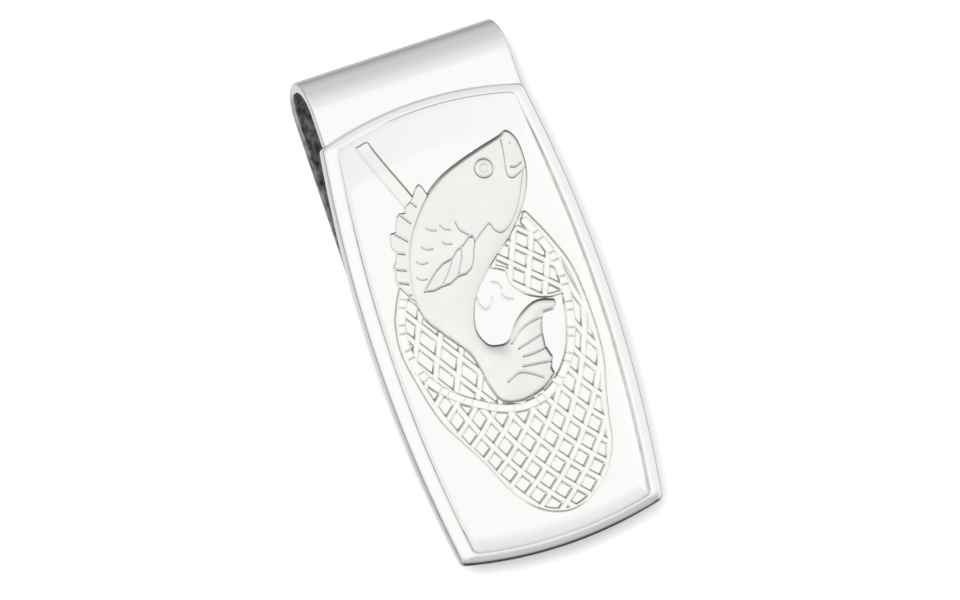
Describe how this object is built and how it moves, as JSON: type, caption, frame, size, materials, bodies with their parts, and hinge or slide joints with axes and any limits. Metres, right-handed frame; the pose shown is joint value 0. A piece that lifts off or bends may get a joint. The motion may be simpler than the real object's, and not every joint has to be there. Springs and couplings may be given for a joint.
{
  "type": "money clip",
  "caption": "Spring strip bent into a rolled U, with a framed face plate that carries a raised fish in a landing net.",
  "frame": {"origin": "on the surface that the clip lies on, under the middle of its box", "axes": "+Z out of the face plate, +Y along the clip towards the roll, +X across the clip"},
  "size_m": [0.0252, 0.0522, 0.0092],
  "materials": {
    "polished_metal": "mirror polish",
    "satin_metal": "fine satin",
    "solder": "dull solder"
  },
  "bodies": {
    "root": {"spring_back": "polished_metal"},
    "front": {"spring_front": "polished_metal", "solder_film": "solder", "face_plate": "polished_metal", "landing_net": "polished_metal", "fish": "satin_metal"}
  },
  "joints": [
    {"name": "clip_flex", "type": "hinge", "parent": "root", "child": "front", "pos_m": [0, 0.0224, 0.0037], "axis": [-1, 0, 0], "range_deg": [0, 6], "stiffness_Nm_per_rad": 3}
  ]
}
